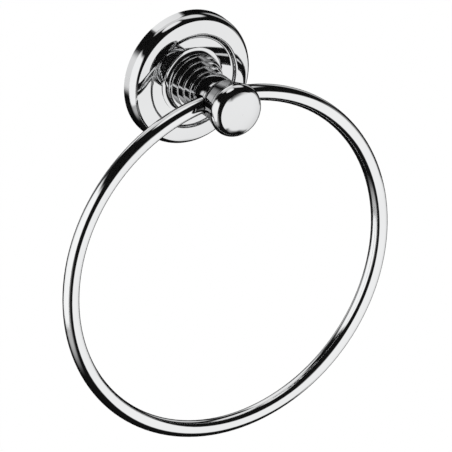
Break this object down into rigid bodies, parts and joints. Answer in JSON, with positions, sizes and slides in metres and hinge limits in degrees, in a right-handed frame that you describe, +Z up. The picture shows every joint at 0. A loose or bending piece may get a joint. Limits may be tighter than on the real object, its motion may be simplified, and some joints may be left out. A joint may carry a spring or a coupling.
{
  "type": "towel ring",
  "caption": "Wall-mounted towel ring: a crowned and dished round rosette, a turned post with a stepped neck and a belled head, and a round-bar ring that swings in the head.",
  "frame": {"origin": "centre of the rosette's back on the wall plane, midway between the two fixing slots", "axes": "+Y into the wall, -Y out along the post, +Z up, +X to the right as seen from the front"},
  "size_m": [0.157, 0.047, 0.1821],
  "materials": {
    "chrome": "bright polished plating",
    "bracket_steel": "dull zinc plating",
    "screw_steel": "plain machined steel"
  },
  "bodies": {
    "holder": {"wall_bracket": "bracket_steel", "rosette": "chrome", "post": "chrome", "end_cap": "chrome", "post_screw": "screw_steel", "lock_washer": "screw_steel", "grub_screw": "screw_steel"},
    "swinging_ring": {"ring": "chrome"}
  },
  "joints": [
    {"name": "ring_swing", "type": "hinge", "parent": "holder", "child": "swinging_ring", "pos_m": [0, -0.0286, 0], "axis": [-1, 0, 0], "range_deg": [-9.5, 189.5]}
  ]
}
